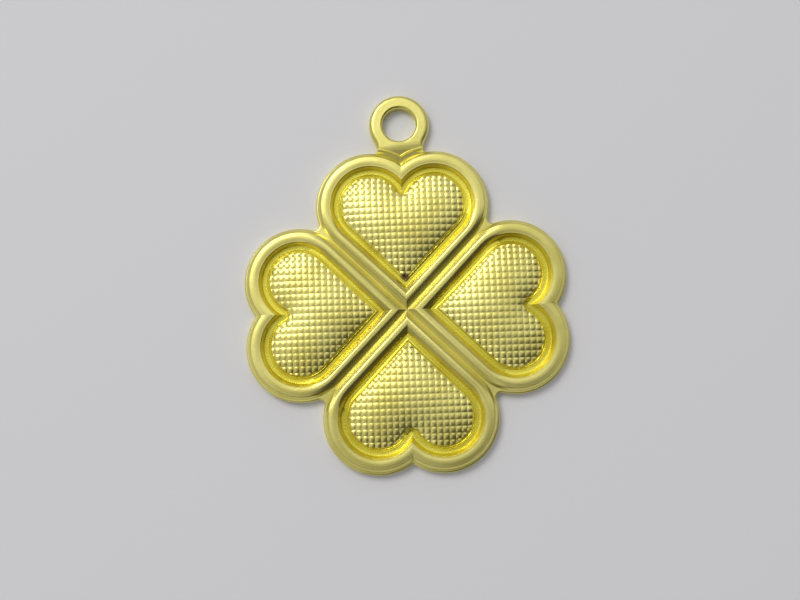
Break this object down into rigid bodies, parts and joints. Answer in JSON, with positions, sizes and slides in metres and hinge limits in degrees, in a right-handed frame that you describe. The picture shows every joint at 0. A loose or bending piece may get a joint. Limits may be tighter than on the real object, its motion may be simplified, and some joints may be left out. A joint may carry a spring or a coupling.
{
  "type": "four leaf clover pendant",
  "caption": "Flat pressed brass clover charm of raised heart leaves with knurled domes, hung from a pierced loop.",
  "frame": {"origin": "middle of the clover, where the heart tips meet, on the flat of the back", "axes": "+X to the charm's right seen from the face, +Y towards the hanging loop, +Z out of the face"},
  "size_m": [0.017, 0.0202, 0.0008],
  "materials": {
    "raw_brass": "satin tumbled rims and loop, brighter recesses"
  },
  "bodies": {
    "root": {"clover_pendant": "raw_brass"}
  },
  "joints": []
}
